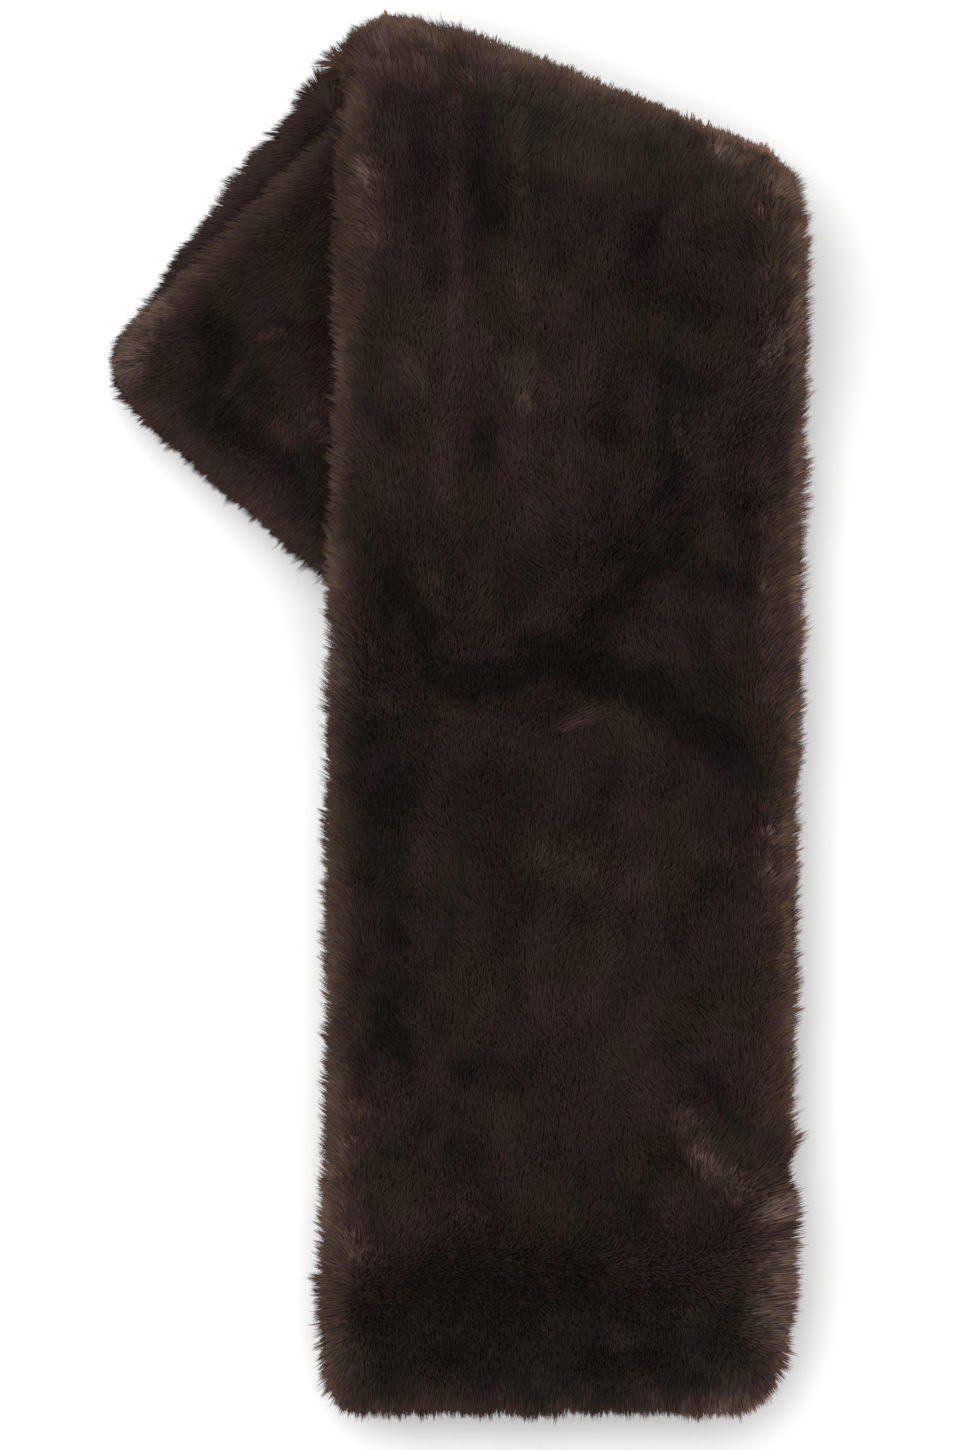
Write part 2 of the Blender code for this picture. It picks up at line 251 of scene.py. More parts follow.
def pile_material():
    """Dull, soft hair, paler at the root: partly woolly underfur, partly painted light that offsets the
    shade deep in the pile.
    """
    shader = Shader("fur_pile")
    layer = shader.node("ShaderNodeUVMap", dict(uv_map=HAIR_COLOURS))["UV"]
    place = shader.node("ShaderNodeSeparateXYZ", {}, layer)
    band = place["Y"] * TINTS
    tint = band.maths("FLOOR", band)
    along = ((band - tint - TINT_MARGIN) / (1 - 2 * TINT_MARGIN)).clamped()
    # painted light: each hair is paler towards its root, partly for its woolly underfur, partly to offset
    # the shade deep in the pile
    shade = place["X"] + ROOT_LIFT * (1 - (along * (1 / PALE_ROOT_SHARE)).clamped())
    colour = None
    for number, row in enumerate(TINT_COLOURS):
        stops = ((0.0, row.dark), (0.5, row.middle), (1.0, row.light))
        hair = shader.node("ShaderNodeValToRGB", dict(stops=stops), shade)["Color"]
        colour = hair if colour is None else shader.mixed((tint - (number - 1)).clamped(), colour, hair)
    return shader.finish(
        Base_Color=colour,
        Roughness=0.62,
        Specular_IOR_Level=0.08,
        Sheen_Weight=0.03,
        Sheen_Roughness=0.5,
        Sheen_Tint=(0.75, 0.62, 0.55, 1.0),
    )


def pelt_material():
    """The knitted ground that the pile grows from, with short hair pressed flat on it."""
    shader = Shader("fur_ground")
    place = shader.node("ShaderNodeTexCoord", {})["Object"]
    run = shader.node("ShaderNodeMapping", {}, place, Scale=FLAT_HAIR_RUN)["Vector"]
    hair = shader.node("ShaderNodeTexNoise", {}, Vector=run, **FLAT_HAIR)["Fac"]
    patch = shader.node("ShaderNodeTexNoise", {}, Vector=place, **FLAT_PATCHES)["Fac"]
    depth = (hair * 1.4 + patch * 0.8 - 0.7).clamped()
    colour = shader.mixed(depth, GROUND_DARK, GROUND_LIGHT)
    bump = shader.node("ShaderNodeBump", {}, Strength=0.6, Distance=0.0008, Height=hair)["Normal"]
    return shader.finish(Base_Color=colour, Roughness=0.9, Specular_IOR_Level=0.08, Normal=bump)


def floor_material():
    """A plain pale floor."""
    shader = Shader("pale_floor")
    return shader.finish(Base_Color=(0.9, 0.9, 0.9, 1.0), Roughness=0.9, Specular_IOR_Level=0.1)


# The surface of a stretch: its points, which way is out, its triangles, how far each point is from the sewn
# edge, measured in the layer, the way from the pelt out to the end of the pile, how far each point lies
# inside the outline seen from above, and the way out of that
Surface = namedtuple("Surface", "points normals triangles edge_distance pile away way_out")


def tree_of(points):
    """Points in a tree that finds the nearest ones."""
    tree = KDTree(len(points))
    for number, point in enumerate(points):
        tree.insert(point, number)
    tree.balance()
    return tree


def nearest(targets, points):
    """For each point, the number of the target nearest to it."""
    tree = tree_of(targets)
    return np.array([tree.find(point)[1] for point in points])


def form_of(node, finer):
    """The form of a node, with its own faces, or with finer and smoother ones."""
    work = bmesh.new()
    work.from_mesh(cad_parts[node].data)
    bmesh.ops.remove_doubles(work, verts=work.verts, dist=MERGE)
    mesh = bpy.data.meshes.new(node + "_form")
    work.to_mesh(mesh)
    work.free()
    if not finer:
        return mesh
    piece = bpy.data.objects.new(node + "_form", mesh)
    bpy.context.scene.collection.objects.link(piece)
    smoothing = piece.modifiers.new("smoothing", "SUBSURF")
    smoothing.levels = smoothing.render_levels = 1
    fine = bpy.data.meshes.new_from_object(piece.evaluated_get(bpy.context.evaluated_depsgraph_get()))
    bpy.data.objects.remove(piece)
    return fine


def read_mesh(mesh):
    """Points, normals, edges and triangles of a mesh, as arrays."""
    mesh.calc_loop_triangles()
    points = np.zeros(len(mesh.vertices) * 3)
    normals = np.zeros(len(mesh.vertices) * 3)
    edges = np.zeros(len(mesh.edges) * 2, np.int32)
    triangles = np.zeros(len(mesh.loop_triangles) * 3, np.int32)
    mesh.vertices.foreach_get("co", points)
    mesh.vertices.foreach_get("normal", normals)
    mesh.edges.foreach_get("vertices", edges)
    mesh.loop_triangles.foreach_get("vertices", triangles)
    return points.reshape(-1, 3), normals.reshape(-1, 3), edges.reshape(-1, 2), triangles.reshape(-1, 3)


def across_layer(node, points):
    """The way through the cloth: straight up, and round the bend away from its axis; and what is on it."""
    axis = np.tile(UP, (len(points), 1))
    if node in (FRONT, UNDER):
        past = (points - BEND_LEFT) @ BEND_OUT
        radial = past[:, None] * BEND_OUT + (points[:, 2:] - BEND_AXIS_Z) * UP
        on_bend = past > 0
        return np.where(on_bend[:, None], unit(radial), axis), on_bend
    return axis, np.zeros(len(points), bool)


def beside(points, triangles):
    """The cells of a level grid that lie beside a stretch, seen from above, in a tree."""
    body = BVHTree.FromPolygons(points.tolist(), triangles.tolist())
    low, high = points.min(axis=0) - GRID_MARGIN, points.max(axis=0) + GRID_MARGIN
    cells = []
    for x in np.arange(low[0], high[0], CELL):
        for y in np.arange(low[1], high[1], CELL):
            if body.ray_cast(Vector((x, y, 1.0)), Vector((0, 0, -1)))[0] is None:
                cells.append((x, y, 0.0))
    return tree_of(cells)


def outline(cells, points):
    """How far each point lies inside the outline, seen from above, and the way out."""
    away, way = [], []
    for x, y, _ in points:
        near = cells.find_n((x, y, 0.0), BESIDE)
        away.append(near[0][2])
        way.append(np.mean([(place.x - x, place.y - y, 0.0) for place, _, _ in near], axis=0))
    return np.array(away), unit(np.array(way))


def settled(values, edges, rounds):
    """Values of points, evened out with those of the points next to them."""
    for _ in range(rounds):
        total, number = values.copy(), np.ones((len(values), 1))
        for here, there in (edges.T, edges.T[::-1]):
            np.add.at(total, here, values[there])
            np.add.at(number, here, 1.0)
        values = total / number
    return values


def to_seam(points, edges, on_edge, axis):
    """The way from each point to the nearest place on the sewn edge, within the layer."""
    seam = edges[on_edge[edges].all(axis=1)]
    share = np.linspace(0, 1, SEAM_STEPS)[:, None, None]
    seam = (points[seam[:, 0]] * (1 - share) + points[seam[:, 1]] * share).reshape(-1, 3)
    out = seam[nearest(seam, points)] - points
    return out - axis * dot(out, axis)


def read_surface(node, finer):
    """Finds the sewn edge of a stretch and how deep its pile is at each point."""
    points, normals, edges, triangles = read_mesh(form_of(node, finer))
    axis, on_bend = across_layer(node, points)
    cells = beside(points, triangles)
    away, way_out = outline(cells, points)
    up = dot(normals, axis)
    on_edge = (np.abs(up[:, 0]) < EDGE_FACING) | (away < ON_OUTLINE) & ~on_bend
    out = to_seam(points, edges, on_edge, axis)
    edge_distance = np.linalg.norm(out, axis=1)

    # The pile points out of the layer at the seam and turns to straight through it over the rim
    turn = np.arccos(np.clip(1.0 - edge_distance / RIM, 0.0, 1.0))[:, None]
    hint = np.where(on_bend[:, None], normals, way_out)
    out = unit(out + unit(hint - axis * dot(hint, axis)) * OUT_HINT)
    side = np.where(up < 0, -1.0, 1.0)
    resting = (points[:, 2:] < FLOOR_NEAR) & (normals[:, 2:] < 0)
    depth = np.where(resting, PILE_ON_FLOOR, np.where(side > 0, PILE_ON_TOP, PILE_BELOW))
    pile = out * (RIM - PANEL_EDGE) * np.cos(turn) + axis * side * depth * np.sin(turn)
    pile = settled(pile, edges, 2 if finer else 1)

    inset, way = outline(cells, points - pile)
    pile += way * np.maximum(np.where(on_bend, BEND_INSET, EDGE_INSET) - inset, 0.0)[:, None]
    pile[:, 2] = np.minimum(pile[:, 2], points[:, 2] - PILE_ON_FLOOR)
    return Surface(points, normals, triangles, edge_distance, pile, away, way_out)


def new_mesh(name, points, triangles):
    """A mesh from arrays."""
    mesh = bpy.data.meshes.new(name)
    mesh.vertices.add(len(points))
    mesh.vertices.foreach_set("co", points.astype(np.float32).ravel())
    mesh.loops.add(triangles.size)
    mesh.loops.foreach_set("vertex_index", triangles.astype(np.int32).ravel())
    mesh.polygons.add(len(triangles))
    mesh.polygons.foreach_set("loop_start", np.arange(0, triangles.size, 3, dtype=np.int32))
    mesh.update(calc_edges=True)
    return mesh


def new_piece(name, mesh, material):
    """A piece of the scarf, which lies as one body."""
    piece = bpy.data.objects.new(name, mesh)
    bpy.context.scene.collection.objects.link(piece)
    mesh.materials.append(material)
    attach(piece, "root")
    return piece


def make_pelt(name, surface, material):
    """The sewn tube of one stretch."""
    mesh = new_mesh(name, surface.points - surface.pile, surface.triangles)
    mesh.shade_smooth()
    pelt = new_piece(name, mesh, material)
    wall = pelt.modifiers.new("cloth", "SOLIDIFY")
    wall.thickness = PELT_WALL
    wall.offset = -1.0
    return pelt


# The pile of a stretch: how many hairs it has, in how many pieces, which way they lie, how much lighter its
# edges are painted, a painted highlight where the hair at the outline catches the light, and what share of
# the hair at its edges has a warm tint
Coat = namedtuple("Coat", "node hairs parts nap_angle edge_light warmth")
COATS = (
    Coat(FRONT, 220000, 4, 92, 0.44, 0.65),
    Coat(UNDER, 22000, 1, 92, 0.28, 0.75),
    Coat(BACK_UPPER, 54000, 1, 215, 0.22, 0.30),
    Coat(BACK_LOWER, 22000, 1, 215, 0.13, 0.10),
)

# Where hair grows: wherever a view from above, from half-way up or from low down reaches
ABOVE = (0.0, 0.0, 1.0)
VIEWS = [ABOVE]
VIEWS += [(math.cos(a), math.sin(a), 1.0) for a in np.arange(6) * math.pi / 3]
VIEWS += [(math.cos(a), math.sin(a), 0.12) for a in np.arange(12) * math.pi / 6]
GRAZING = 0.05  # a surface that faces a view less than this doesn't show in it
VIEW_START = 0.0008  # a view is followed from this far outside the surface
SIDE_SHARE = 0.7  # how densely hair grows that doesn't show from above

# How a hair is shaped
HAIR_WIDTH = 0.00060
EDGE_HAIR_WIDTH = 0.00038
MIDDLE = 0.76  # where along it a hair starts to taper
MIDDLE_LOWER = 0.16  # and how much lower at the outline
BLADE_TURN = 0.24  # how far the blades are turned this way and that
SOFTNESS = 0.30  # how far a hair takes the light as the pile's surface does, and not as a blade
SHADE_ACROSS = 0.004  # from the middle of a blade to its side
TINT_MIDDLE = 0.55  # how far along its tint a hair starts to taper

# How it lies: with the nap, and fanned out at the outline
LEAN = 0.0044  # how far a hair's tip lies from above its root
LEAN_SPREAD = 0.12
SHOWN_AT = 0.6  # the share of that at which the hair is seen from above
FAN_REACH = 0.018  # the hair turns outwards over this distance from the outline
FAN_NAP_LOST = 0.2  # how much of the nap the fan takes away
FAN_OUT = 0.55  # how far it turns the hair out
FAN_AGAINST = 1.4  # and how much further where the nap runs inwards
FAN_LEAN = 0.45  # how much further over the hair lies there
EDGE_UPRIGHT = 0.65  # how much less the hair right at the outline lies outwards
LEVEL = 0.05  # a surface that leans less than this is level

# How far it reaches, and how the tips draw together in locks
REACH = 0.97  # of the depth of the pile
REACH_SPREAD = 0.04
MARK_REACH = 1.2  # how much shorter darker hair is, and longer lighter hair
MARK_REACH_LIMITS = (-0.25, 0.08)
RUFFLE = 0.0006
LOCK = 0.0017  # distance between locks of hair
LOCK_DRAW = 0.05  # how far a lock draws its tips together, at most
EDGE_LOCKS = 0.010  # the locks are more marked within this distance of the outline
EDGE_DRAW = 0.44
EDGE_LONGER = (0.0004, 0.0008)  # how much longer the locks are there, and its spread
FLOOR_CLEAR = 0.0004

# Its shade and tint
SHADE = 0.240
SHADE_LIMITS = (0.02, 0.98)
ALONG = (1.0, 0.65, 1.0)  # blotches are longer along the scarf than across it
EDGE_BAND_X, EDGE_BAND = (0.0, 0.08), (0.0118, 0.0084)  # how wide the painted highlight at the edge is, from left to right
EDGE_BAND_FADE = 1.12
UNEVEN = 0.007  # spread of the shade from hair to hair
EDGE_UNEVEN = 0.020  # more of it at the outline
MARK_UNEVEN = 0.18  # and where the hair is lighter
LOCK_UNEVEN = 0.007  # and from lock to lock
LOCK_LIGHT = (0.6, 1.4)  # the least and the most that a lock takes of a lighter mark
OLIVE_SHADE = 0.20  # darker hair than this is more olive, and lighter hair more plum
OLIVE_BY_SHADE = 3.5
OLIVE_SPREAD = 0.35
WARM_REACH, WARM_FADE = 0.012, 1.3
RUSSET_REACH, RUSSET_SHARE, RUSSET_X = 0.006, 0.7, 0.08  # only at the right edge

# What differs smoothly from place to place: by how much, over what distance, and with which seed
Sway = namedtuple("Sway", "spread wavelength seed")
NAP_SWAY, NAP_CURL = Sway(0.24, 0.060, 1), Sway(0.16, 0.014, 2)
LEAN_SWAY, REACH_SWAY = Sway(0.20, 0.020, 3), Sway(0.04, 0.008, 4)
SHADE_CLOUDS, SHADE_BLOTCHES = Sway(0.052, 0.040, 5), Sway(0.028, 0.013, 6)
OLIVE_SWAY, MARK_SWAY = Sway(0.55, 0.024, 7), Sway(0.22, 0.012, 8)

# Lighter and darker places of the pile, painted into its colour: painted shade in creases, hollows and
# beside layers that lie over it, painted highlight on edges and ridges, and partly paler hair in flecks and
# tufts. Each is a broken line in plan, in millimetres, how far it reaches to each side, how much lighter
# the hair is there, and how much more of it is olive, or plum where that is below 0
Mark = namedtuple("Mark", "name line reach shade olive", defaults=(0.0,))
MARK_FADE = 1.25  # a mark ends at this many times its reach
FRONT_MARKS = (
    # creases and hollows: painted shade, some also more olive, some more plum
    Mark("left sweep", ((-12, 28), (-7, 15), (2, 10), (12, 14), (27, 22)), 8, -0.18),
    Mark("left sweep, deep", ((-8, 14), (2, 9)), 7, -0.09),
    Mark("left sweep, right part", ((3, 13), (18, 14)), 7.5, -0.12),
    Mark("left sweep, high", ((-24, 48), (-12, 30)), 5.5, -0.17),
    Mark("right sweep", ((27, 22), (46, 14), (62, 9), (76, -2), (94, -15)), 9, -0.20),
    Mark("right sweep, deep", ((44, 14), (66, 7), (78, -4)), 5, -0.08),
    Mark("over the right sweep", ((68, 13), (74, 9)), 7, -0.10),
    Mark("shoulder dip", ((71, 112), (70, 86), (70, 62), (63, 50), (51, 39), (45, 33)), 8, -0.18),
    Mark("side nick", ((74, 53), (87, 45), (94, 42)), 6, -0.13),
    Mark("neck spot", ((8, 94), (9, 86)), 8, -0.16),
    Mark("beside the neck spot", ((-30, 104), (-16, 94)), 9, -0.12),
    Mark(
        "left hollow",
        ((-20, -24), (-25, -33), (-27, -57), (-24, -74), (-28, -88), (-24, -104)),
        10,
        -0.13,
    ),
    Mark("right of the left hollow", ((-6, -64), (-18, -84), (-18, -108)), 12, -0.17),
    Mark("low left plain", ((-22, -148), (-10, -144), (-6, -132)), 10, -0.11),
    Mark("right plain", ((68, -8), (74, -34)), 9, -0.05),
    Mark("upper plain", ((-24, 146), (0, 148)), 10, -0.08),
    Mark("beside the left edge", ((-26, 152), (-30, 96)), 11, -0.08),
    Mark("above the side nick", ((62, 45), (84, 46)), 7, -0.12),
    Mark("low plain", ((48, -76), (56, -104), (16, -122)), 18, -0.035),
    Mark("low left hollow", ((-34, -112), (-24, -108), (-21, -118)), 7, -0.10),
    Mark("middle dip", ((0, -116), (16, -120)), 8, -0.12),
    Mark("above the tuft", ((81, -118), (93, -138)), 5, -0.18),
    Mark("hem hollow", ((-14, -197), (30, -206), (86, -205)), 23, -0.22, 0.8),
    Mark("left neck furrow", ((-14, 204), (-13, 162)), 6, -0.09, -1.4),
    Mark("middle neck furrow", ((7, 204), (7, 150)), 3.5, -0.05, -1.4),
    Mark("right neck furrow", ((30, 177), (31, 150)), 5, -0.07, -0.9),
    # tufts and ridges: mostly lighter, partly painted highlight where the hair stands up to the light,
    # partly paler hair
    Mark("right tuft", ((74, -134), (77, -141), (80, -146), (82, -148)), 6, 0.34),
    Mark("side of the tuft", ((83, -153), (88, -159)), 6, 0.13),
    Mark("whorl", ((91, -153), (93, -157)), 6, 0.32),
    Mark("beside the whorl", ((99, -154), (106, -161)), 7, 0.15),
    Mark("low right edge", ((106, -167), (109, -184), (105, -202)), 11, 0.50),
    Mark("inside it", ((101, -181), (99, -198)), 7, 0.12),
    Mark("fleck", ((34, -3), (42, 1)), 2.5, 0.19),
    Mark("mound", ((10, -6), (40, -8), (60, -6)), 8, 0.05),
    Mark("belly", ((30, -47), (47, -50), (56, -53)), 11, 0.17, 1.2),
    Mark("left rib", ((-2, 204), (-2, 160), (-3, 110)), 3, 0.14, -0.4),
    Mark("right rib", ((19, 200), (19, 160), (21, 100)), 3.8, 0.14, 1.4),
    Mark("left neck tufts", ((-17, 115), (-12, 108)), 4, 0.13, 0.9),
    Mark("further left tuft", ((-27, 110), (-25, 106)), 3, 0.06, 1.2),
    Mark("right neck tufts", ((14, 117), (20, 102)), 4, 0.14, 1.2),
    Mark("right neck tuft", ((29, 112), (31, 104)), 3, 0.12),
    Mark("low neck tuft", ((-8, 96), (-6, 76)), 5, 0.13),
    Mark("high right cloud", ((20, 204), (38, 196), (48, 190)), 8, -0.07, 0.8),
    Mark("below the bend", ((24, 203), (60, 188), (96, 172)), 20, 0.02, 1.1),
    Mark("plum patch", ((56, 158), (92, 140)), 14, 0.0, -1.0),
    Mark("right shoulder", ((62, 168), (84, 170), (78, 144)), 12, 0.09),
    Mark("right fleck", ((70, 99), (74, 88)), 2.5, 0.20),
    Mark("dot", ((-9, 46), (-9, 45)), 2, 0.22),
    Mark("low left tufts", ((-17, -164), (-8, -160), (5, -166)), 5, 0.09),
    Mark("low middle tuft", ((3, -160), (4, -170)), 6, 0.13),
    Mark("low cloud", ((10, -82), (9, -100)), 8, 0.13),
    Mark("right belly", ((84, -46), (98, -50)), 8, 0.11),
    # edges: painted highlight along the outline, held back over the turned part and along the hem
    Mark("top left edge", ((-31, 180), (-30, 162)), 8, 0.23),
    Mark("over the turned part", ((-41, 215), (-41, 134)), 6, -0.24),
    Mark("over the turned part, low", ((-41, 126), (-41, 62)), 6, -0.14),
    Mark("peak", ((-27, 221), (-12, 220)), 10, 0.24),
    Mark("below the peak", ((-24, 214), (-12, 213)), 7, 0.08),
    Mark("peak edge", ((-34, 226), (-16, 230)), 5, 0.16),
    Mark("right of the peak", ((4, 216), (12, 214)), 7, 0.28),
    Mark("left of the peak", ((-34, 214), (-33, 221)), 6, -0.14),
    Mark("top edge", ((22, 211), (62, 197)), 7, 0.13, 0.8),
    Mark("top right edge", ((86, 188), (98, 185), (100, 172)), 8, 0.28),
    Mark("corner of the bend", ((100, 186), (106, 179)), 7, 0.12),
    Mark("left edge", ((-33, 214), (-35, 138)), 7, 0.10),
    Mark("low left edge", ((-36, -132), (-38, -172)), 7, 0.21),
    Mark("low left rim", ((-44, -124), (-44, -130)), 4, 0.12),
    Mark("low left rim, below", ((-46, -153), (-47, -168)), 5, 0.16),
    Mark("right edge", ((111, 160), (112, 60), (111, 22)), 4, 0.24),
    Mark("right edge, middle", ((111, 4), (110, -14)), 4, 0.18),
    Mark("right edge, low", ((110, -36), (109, -84)), 4, 0.10),
    Mark("inside the right edge", ((103, 165), (103, 60), (103, -4)), 7, 0.13),
    Mark("inside the right edge, low", ((103, -32), (104, -78)), 8, 0.17),
    Mark("hem", ((-34, -230), (56, -231)), 7, -0.15),
    Mark("right end of the hem", ((76, -232), (98, -228)), 5.5, 0.34),
    Mark("left end of the hem", ((-34, -182), (-28, -190)), 10, 0.27),
    Mark("right edge cloud", ((97, 84), (98, 72), (104, 54), (105, 24)), 8, 0.10),
    Mark("right edge tufts", ((103, -40), (106, -58)), 6, 0.12),
    Mark("high right tuft", ((104, 128), (102, 118)), 5, 0.22),
)
# The turned part: painted shade in its hollows and painted highlight at its far corner and edges, with
# paler flecks of hair
TURNED_BROAD_MARKS = (
    Mark("far corner", ((-105, 134), (-111, 119)), 10, 0.26),
    Mark("corner hollow", ((-83, 130), (-79, 118), (-84, 103)), 9, -0.20),
    Mark("middle hollow", ((-76, 98), (-70, 94)), 7, -0.14),
    # painted shadow of the front where it lies over the turned part
    Mark("beside the front", ((-50, 94), (-47, 76)), 8, -0.08),
    Mark("low corner", ((-61, 88), (-56, 72)), 7, -0.16),
    Mark("lower edge", ((-104, 103), (-60, 62)), 5, 0.08),
)
TURNED_FINE_MARKS = (
    # painted shadow beside the front and under the bend
    Mark("beside the neck", ((-47, 138), (-47, 112)), 5, -0.10),
    Mark("under the bend", ((-44, 214), (-50, 188)), 7, -0.12),
    Mark("high fleck", ((-66, 128), (-60, 129)), 2, 0.24),
    Mark("low fleck", ((-78, 109), (-74, 117)), 2, 0.20),
    Mark("front flecks", ((-62, 98), (-58, 93)), 3.5, 0.20),
    Mark("edge fleck", ((-49, 97), (-46, 95)), 3, 0.32),
    Mark("shoulder cloud", ((-68, 158), (-50, 168)), 9, 0.06),
    Mark("upper ridge", ((-106, 134), (-88, 146)), 6, 0.12),
)
MARKS = {
    FRONT: FRONT_MARKS,
    UNDER: (),
    BACK_UPPER: TURNED_BROAD_MARKS + TURNED_FINE_MARKS,
    BACK_LOWER: TURNED_BROAD_MARKS,
}

# Places of the front where the hair has been brushed another way: a broken line in plan and how far it
# reaches, in millimetres, the angle, and how far over the hair lies, where the nap elsewhere has 1
Brushed = namedtuple("Brushed", "name line reach angle lean")
BRUSHED_FADE = 1.4
BRUSHED = (
    Brushed("within the hem", ((0, -192), (74, -196)), 22, 20, 0.5),
    Brushed("above the hem", ((-40, -233), (95, -233)), 44, -88, 0.9),
    Brushed("right tuft", ((78, -137), (90, -151)), 9, 58, 1.5),
    Brushed("low right edge", ((103, -180), (103, -194)), 18, 8, 1.2),
    Brushed("above it", ((101, -164), (101, -166)), 9, 25, 1.3),
    Brushed("left edge", ((-38, 170), (-38, 130)), 13, 128, 1.3),
    Brushed("fleck", ((34, -3), (42, 1)), 5, 20, 1.6),
    Brushed("left neck tufts", ((-19, 113), (-15, 111)), 6, 118, 1.5),
    Brushed("right neck tufts", ((19, 114), (25, 102)), 6, 66, 1.4),
    Brushed("right edge cloud", ((104, 36), (104, 8)), 8, 60, 1.4),
    Brushed("left bend", ((-32, 215), (-20, 210)), 14, 105, 1.3),
    Brushed("bend", ((20, 205), (90, 180)), 14, 64, 1.2),
)
# And the small whorl at the lower right, round which the hair turns
WHORL = (0.0916, -0.1540)
WHORL_REACH, WHORL_FADE, WHORL_FALL = 0.0030, 1.6, 1.2
WHORL_LEAN = 0.8

# Places along the outline where the hair is longer or shorter: a broken line in plan, how far it reaches
# and how much longer the hair is, in millimetres
Trimmed = namedtuple("Trimmed", "name line reach longer")
TRIMMED_FADE = 1.4
TRIMMED = {
    FRONT: (
        Trimmed("corner of the bend", ((112, 183), (112, 184)), 8, -3.4),
        Trimmed("below the corner", ((115, 163), (115, 160)), 8, 1.0),
        Trimmed("bend", ((4, 224), (30, 216)), 12, 0.8),
        Trimmed("left of the peak", ((-42, 223), (-36, 230)), 6, -2.0),
        Trimmed("peak", ((-33, 231), (-24, 233)), 6, -1.3),
        Trimmed("beside the fold", ((-41, 216), (-42, 207)), 4, 3.0),
        Trimmed("low right edge", ((112, -160), (112, -202)), 8, -4.2),
        Trimmed("right side", ((113, 76), (112, 28)), 10, 2.6),
        Trimmed("right side, low", ((112, -54), (112, -82)), 8, -0.6),
        Trimmed("stray tuft", ((111, -144), (112, -145)), 2.5, 5.0),
        Trimmed("hem, right", ((40, -235), (78, -235)), 8, -1.8),
        Trimmed("hem, left", ((-14, -235), (12, -235)), 8, -1.0),
        Trimmed("left side, low", ((-46, -192), (-46, -196)), 7, 1.5),
    ),
    UNDER: (Trimmed("beside the fold", ((-41, 214), (-41, 212)), 6, 3.5),),
    BACK_UPPER: (
        Trimmed("beside the bend", ((-41, 212), (-42, 211)), 10, 2.5),
        Trimmed("far corner, low", ((-116, 113), (-112, 107)), 6, -2.0),
    ),
    BACK_LOWER: (
        Trimmed("beside the bend", ((-41, 212), (-42, 211)), 10, 2.5),
        Trimmed("upper edge", ((-66, 193), (-74, 181)), 8, 2.4),
    ),
}

# The spots where hairs grow, and what the Surface says there
Spots = namedtuple("Spots", "place normal pile edge_distance away way_out")
# Hairs: root, middle and tip of each, the way that the pile's surface faces there, and the hair's width,
# shade and tint
Hairs = namedtuple("Hairs", "root middle tip normal width shade tint")


def openness(surface, trees):
    """How densely hair grows on each triangle: from 0 for what no view shows to 1 for what shows from
    above."""
    centres = surface.points[surface.triangles].mean(axis=1)
    outward = unit(surface.normals[surface.triangles].mean(axis=1))
    share = np.zeros(len(centres))
    for number, (centre, normal) in enumerate(zip(centres, outward)):
        start = Vector(centre + normal * VIEW_START)
        for way in VIEWS:
            if np.dot(normal, way) <= GRAZING:
                continue
            if all(tree.ray_cast(start, Vector(way))[0] is None for tree in trees):
                share[number] = 1.0 if way is ABOVE else SIDE_SHARE
                break
    return share


def sample(surface, weight, count, rng):
    """Places spread evenly over a surface: the triangle of each, its share of the three corners, and the
    area that one hair covers."""
    a, b, c = (surface.points[surface.triangles[:, k]] for k in range(3))
    size = np.linalg.norm(np.cross(b - a, c - a), axis=1) / 2 * weight
    total = np.cumsum(size) / size.sum()
    triangle = np.searchsorted(total, (np.arange(count) + rng.uniform(0, 1, count)) / count)
    u, v = rng.uniform(size=(2, count))
    flip = u + v > 1
    u, v = np.where(flip, 1 - u, u), np.where(flip, 1 - v, v)
    return triangle, np.stack([1 - u - v, u, v], axis=1), size.sum() / count


def read_spots(surface, triangle, share):
    """What a surface says at sampled places."""

    def at(values):
        corners = values[surface.triangles[triangle]]
        return (corners * share.reshape(len(share), 3, *[1] * (values.ndim - 1))).sum(axis=1)

    return Spots(
        at(surface.points),
        unit(at(surface.normals)),
        at(surface.pile),
        at(surface.edge_distance),
        at(surface.away),
        unit(at(surface.way_out)),
    )


def sways(sway, place, seed):
    """How much something differs at each place."""
    return sway.spread * waves(place, sway.wavelength, seed + sway.seed)


def line_distance(plan, line):
    """How far points in plan are from a broken line, which is in millimetres."""
    best = np.full(len(plan), np.inf)
    for first, last in zip(line, line[1:]):
        first, step = np.array(first) / 1000, (np.array(last) - np.array(first)) / 1000
        share = np.clip((plan - first) @ step / (step @ step), 0.0, 1.0)
        best = np.minimum(best, np.linalg.norm(plan - first - share[:, None] * step, axis=1))
    return best


def near(place, row, fade):
    """How fully a row of the tables holds at each place: from 1 at its line to 0 at this many times its
    reach."""
    return eased(fade - line_distance(place[:, :2], row.line) / (row.reach / 1000))


def marked(marks, place):
    """How much lighter the hair is for its marks, with their painted shade and painted highlight, and how
    much more olive.
    """
    lighter, olive = np.zeros((2, len(place)))
    for row in marks:
        here = near(place, row, MARK_FADE)
        lighter += row.shade * here
        olive += row.olive * here
    return lighter, olive


def level_way(angle):
    """The way at an angle in plan."""
    return np.stack([np.cos(angle), np.sin(angle), 0.0 * angle], axis=-1)


